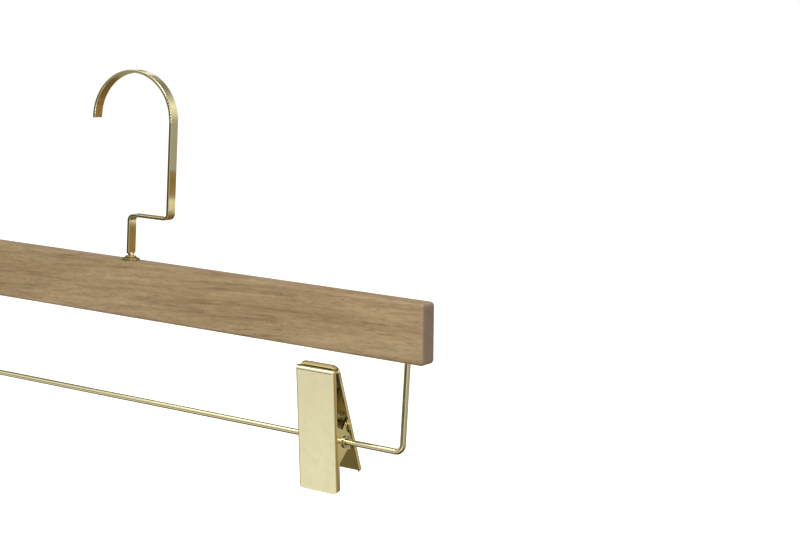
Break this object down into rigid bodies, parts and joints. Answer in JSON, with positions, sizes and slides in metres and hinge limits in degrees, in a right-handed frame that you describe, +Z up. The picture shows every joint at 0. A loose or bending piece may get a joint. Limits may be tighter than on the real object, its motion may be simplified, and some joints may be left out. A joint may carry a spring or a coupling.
{
  "type": "trouser hanger",
  "caption": "Wooden bar hanger with a swivelling flat hook and a wire rod that carries sliding sprung garment clips.",
  "frame": {"origin": "centre of the hook's arc, which is the axis of the rail it hangs on, straight above the middle of the bar", "axes": "+X along the bar towards the hook's stem, +Y from the bar's front face to its back face (along the rail), +Z up"},
  "size_m": [0.363, 0.033, 0.2011],
  "materials": {
    "wood": "satin lacquered light hardwood, grain along the bar",
    "hook_brass": "polished pale gold plate",
    "ferrule_brass": "polished pale gold plate",
    "washer_steel": "zinc plated steel",
    "nut_steel": "zinc plated steel",
    "rod_brass": "polished pale gold plate",
    "front_plate_brass": "pale gold plate, soft polish",
    "back_plate_brass": "pale gold plate, soft polish",
    "front_pad_rubber": "soft translucent off-white rubber",
    "back_pad_rubber": "soft translucent off-white rubber",
    "tube_steel": "nickel plated steel",
    "spring_steel": "bright spring steel"
  },
  "bodies": {
    "hook": {"hook": "hook_brass", "hook_nut": "nut_steel"},
    "bar": {"bar": "wood", "hook_ferrule": "ferrule_brass", "hook_washer": "washer_steel", "trouser_rod": "rod_brass"},
    "left_clip_carrier": {"left_pivot_tube": "tube_steel"},
    "left_front_leaf": {"left_front_plate": "front_plate_brass", "left_front_pad": "front_pad_rubber", "left_spring": "spring_steel"},
    "left_back_leaf": {"left_back_plate": "back_plate_brass", "left_back_pad": "back_pad_rubber"},
    "right_clip_carrier": {"right_pivot_tube": "tube_steel"},
    "right_front_leaf": {"right_front_plate": "front_plate_brass", "right_front_pad": "front_pad_rubber", "right_spring": "spring_steel"},
    "right_back_leaf": {"right_back_plate": "back_plate_brass", "right_back_pad": "back_pad_rubber"}
  },
  "joints": [
    {"name": "hook_swivel", "type": "hinge", "parent": "hook", "child": "bar", "pos_m": [0, 0, -0.0739], "axis": [0, 0, 1], "continuous": true},
    {"name": "left_clip_slide", "type": "slide", "parent": "bar", "child": "left_clip_carrier", "axis": [-1, 0, 0], "range_m": [-0.11395, 0.02695]},
    {"name": "left_clip_swing", "type": "hinge", "parent": "left_clip_carrier", "child": "left_front_leaf", "pos_m": [-0.1265, 0, -0.1489], "axis": [1, 0, 0], "continuous": true},
    {"name": "left_jaw", "type": "hinge", "parent": "left_front_leaf", "child": "left_back_leaf", "pos_m": [-0.1265, 0, -0.1489], "axis": [-1, 0, 0], "range_deg": [0, 28], "stiffness_Nm_per_rad": 0.3, "springref_deg": -57.3, "deforming": ["left_spring"]},
    {"name": "right_clip_slide", "type": "slide", "parent": "bar", "child": "right_clip_carrier", "axis": [1, 0, 0], "range_m": [-0.11395, 0.02695]},
    {"name": "right_clip_swing", "type": "hinge", "parent": "right_clip_carrier", "child": "right_front_leaf", "pos_m": [0.1265, 0, -0.1489], "axis": [1, 0, 0], "continuous": true},
    {"name": "right_jaw", "type": "hinge", "parent": "right_front_leaf", "child": "right_back_leaf", "pos_m": [0.1265, 0, -0.1489], "axis": [-1, 0, 0], "range_deg": [0, 28], "stiffness_Nm_per_rad": 0.3, "springref_deg": -57.3, "deforming": ["right_spring"]}
  ]
}
